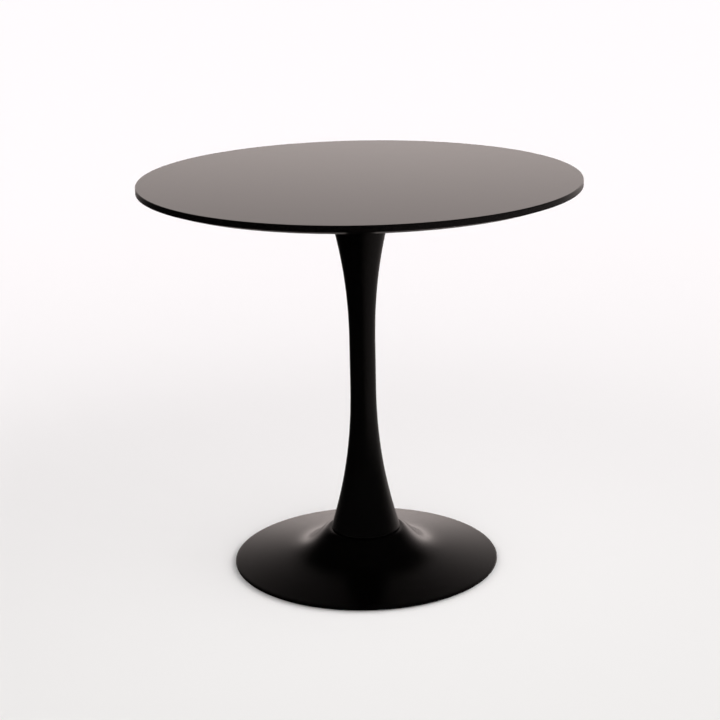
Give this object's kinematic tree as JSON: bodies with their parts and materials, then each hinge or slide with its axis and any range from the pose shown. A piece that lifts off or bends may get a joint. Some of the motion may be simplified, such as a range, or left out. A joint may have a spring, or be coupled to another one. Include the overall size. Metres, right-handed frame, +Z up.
{
  "type": "pedestal table",
  "caption": "Round pedestal table: a thin disc top with a bevelled underside on a trumpet-shaped column and a low flared foot that stands on screw levelling glides.",
  "frame": {"origin": "on the floor, under the middle of the foot and on the column's axis", "axes": "+Z up along the column's axis; +X and +Y are level and equivalent, with the four glides on the diagonals between them"},
  "size_m": [0.7999, 0.8, 0.735],
  "materials": {
    "board_lacquer": "satin black lacquer on MDF",
    "powder_coat": "fine satin black powder coat",
    "cover_paint": "matte black paint",
    "zinc_plate": "bright zinc plate",
    "bare_steel": "plain mild steel",
    "cast_ballast": "rough sand casting",
    "gasket_rubber": "matte black rubber",
    "glide_nylon": "black nylon"
  },
  "bodies": {
    "table": {"table_top": "board_lacquer", "top_inserts": "zinc_plate", "mounting_plate": "powder_coat", "plate_bolts": "zinc_plate", "plate_washers": "zinc_plate", "plate_weld_nut": "bare_steel", "column_shell": "powder_coat", "column_top_ring": "bare_steel", "column_foot_disc": "bare_steel", "tie_rod": "zinc_plate", "rod_nut": "zinc_plate", "rod_spring_washer": "zinc_plate", "rod_washer": "zinc_plate", "foot_gasket": "gasket_rubber", "foot_shell": "powder_coat", "ballast": "cast_ballast", "bottom_cover": "cover_paint", "cover_screws": "zinc_plate", "glide_nuts": "zinc_plate"},
    "pad_1": {"glide_pad_1": "glide_nylon"},
    "stud_1": {"glide_stud_1": "zinc_plate"},
    "pad_2": {"glide_pad_2": "glide_nylon"},
    "stud_2": {"glide_stud_2": "zinc_plate"},
    "pad_3": {"glide_pad_3": "glide_nylon"},
    "stud_3": {"glide_stud_3": "zinc_plate"},
    "pad_4": {"glide_pad_4": "glide_nylon"},
    "stud_4": {"glide_stud_4": "zinc_plate"}
  },
  "joints": [
    {"name": "glide_1_lift", "type": "slide", "parent": "table", "child": "pad_1", "axis": [0, 0, -1], "range_m": [0, 0.005]},
    {"name": "glide_1_turn", "type": "hinge", "parent": "pad_1", "child": "stud_1", "pos_m": [0.12374, 0.12374, 0.008], "axis": [0, 0, -1], "range_deg": [0, 1440]},
    {"name": "glide_2_lift", "type": "slide", "parent": "table", "child": "pad_2", "axis": [0, 0, -1], "range_m": [0, 0.005]},
    {"name": "glide_2_turn", "type": "hinge", "parent": "pad_2", "child": "stud_2", "pos_m": [-0.12374, 0.12374, 0.008], "axis": [0, 0, -1], "range_deg": [0, 1440]},
    {"name": "glide_3_lift", "type": "slide", "parent": "table", "child": "pad_3", "axis": [0, 0, -1], "range_m": [0, 0.005]},
    {"name": "glide_3_turn", "type": "hinge", "parent": "pad_3", "child": "stud_3", "pos_m": [-0.12374, -0.12374, 0.008], "axis": [0, 0, -1], "range_deg": [0, 1440]},
    {"name": "glide_4_lift", "type": "slide", "parent": "table", "child": "pad_4", "axis": [0, 0, -1], "range_m": [0, 0.005]},
    {"name": "glide_4_turn", "type": "hinge", "parent": "pad_4", "child": "stud_4", "pos_m": [0.12374, -0.12374, 0.008], "axis": [0, 0, -1], "range_deg": [0, 1440]}
  ],
  "couplings": [
    {"joint": "glide_1_turn", "follows": "glide_1_lift", "rad_per_m": 5026.5},
    {"joint": "glide_2_turn", "follows": "glide_2_lift", "rad_per_m": 5026.5},
    {"joint": "glide_3_turn", "follows": "glide_3_lift", "rad_per_m": 5026.5},
    {"joint": "glide_4_turn", "follows": "glide_4_lift", "rad_per_m": 5026.5}
  ]
}
